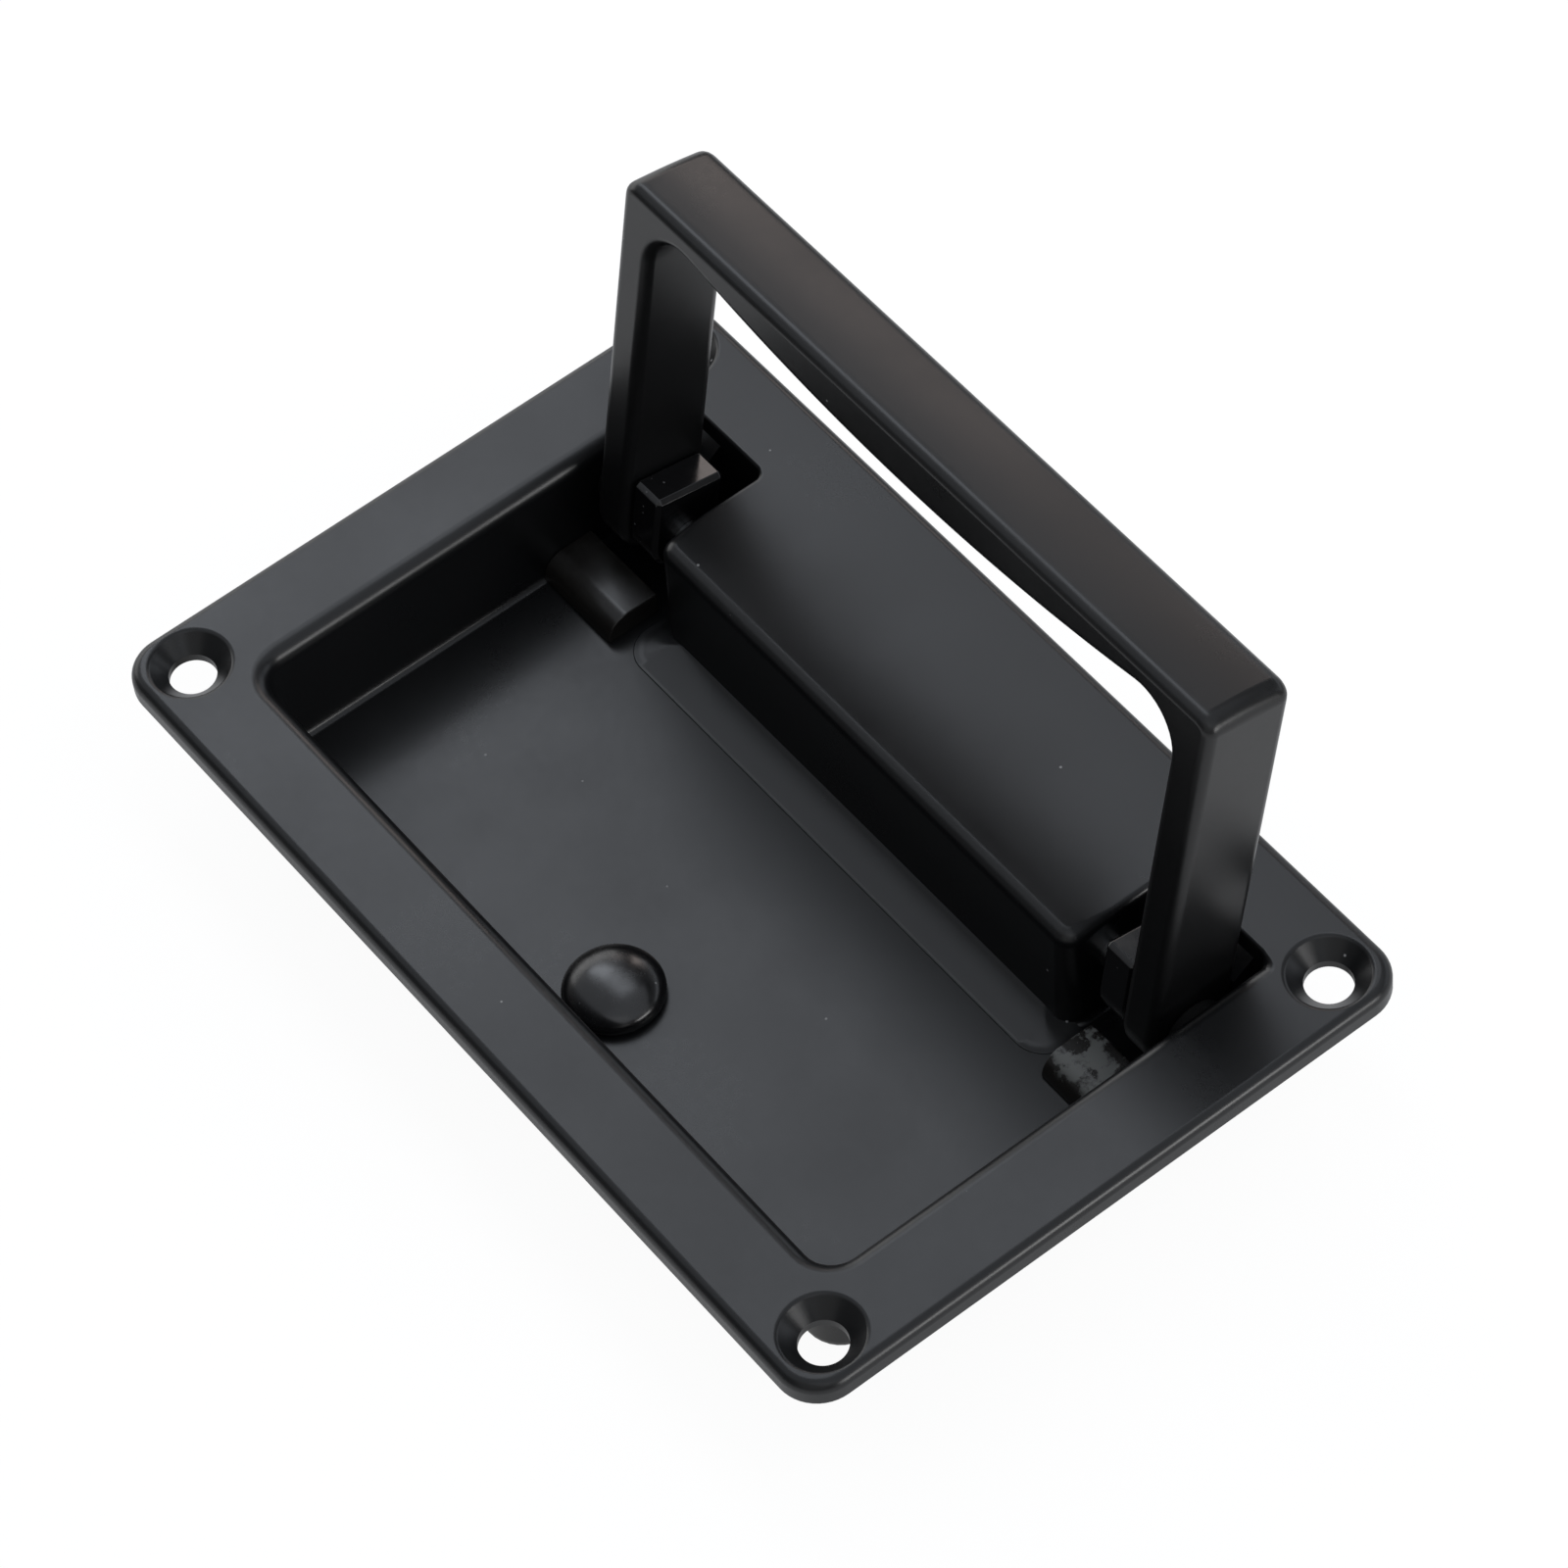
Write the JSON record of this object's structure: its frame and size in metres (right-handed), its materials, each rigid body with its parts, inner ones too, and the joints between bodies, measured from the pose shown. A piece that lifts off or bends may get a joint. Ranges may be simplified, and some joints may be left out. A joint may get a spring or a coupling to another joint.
{
  "type": "folding handle",
  "caption": "Flush folding pull handle: a cast black pan with countersunk fixing holes in its flange and a U-shaped bail that folds forward into the recess.",
  "frame": {"origin": "centre of the flange's back face, which is also the centre of the four screw holes", "axes": "+X along the length, +Y from the front wall to the pockets at the rear, +Z out of the panel towards the hand"},
  "size_m": [0.124, 0.08, 0.0592],
  "materials": {
    "cast_black": "satin black powder coat on a casting",
    "bail_black": "satin black powder coat on a casting",
    "pin_steel": "plain ground steel",
    "gloss_black": "glossy black moulding",
    "washer_plastic": "matte moulded plastic",
    "pad_black": "semi-gloss moulding, slightly rubbed"
  },
  "bodies": {
    "pan": {"base_pan": "cast_black", "left_pivot_pin": "pin_steel", "right_pivot_pin": "pin_steel", "left_thrust_washer": "washer_plastic", "right_thrust_washer": "washer_plastic", "left_rest_pad": "pad_black", "right_rest_pad": "pad_black", "grip_bumper": "gloss_black"},
    "bail": {"bail_handle": "bail_black", "left_pivot_block": "gloss_black", "right_pivot_block": "gloss_black"}
  },
  "joints": [
    {"name": "bail_fold", "type": "hinge", "parent": "pan", "child": "bail", "pos_m": [0, 0.0211, -0.0032], "axis": [1, 0, 0], "range_deg": [0, 101.4]}
  ]
}
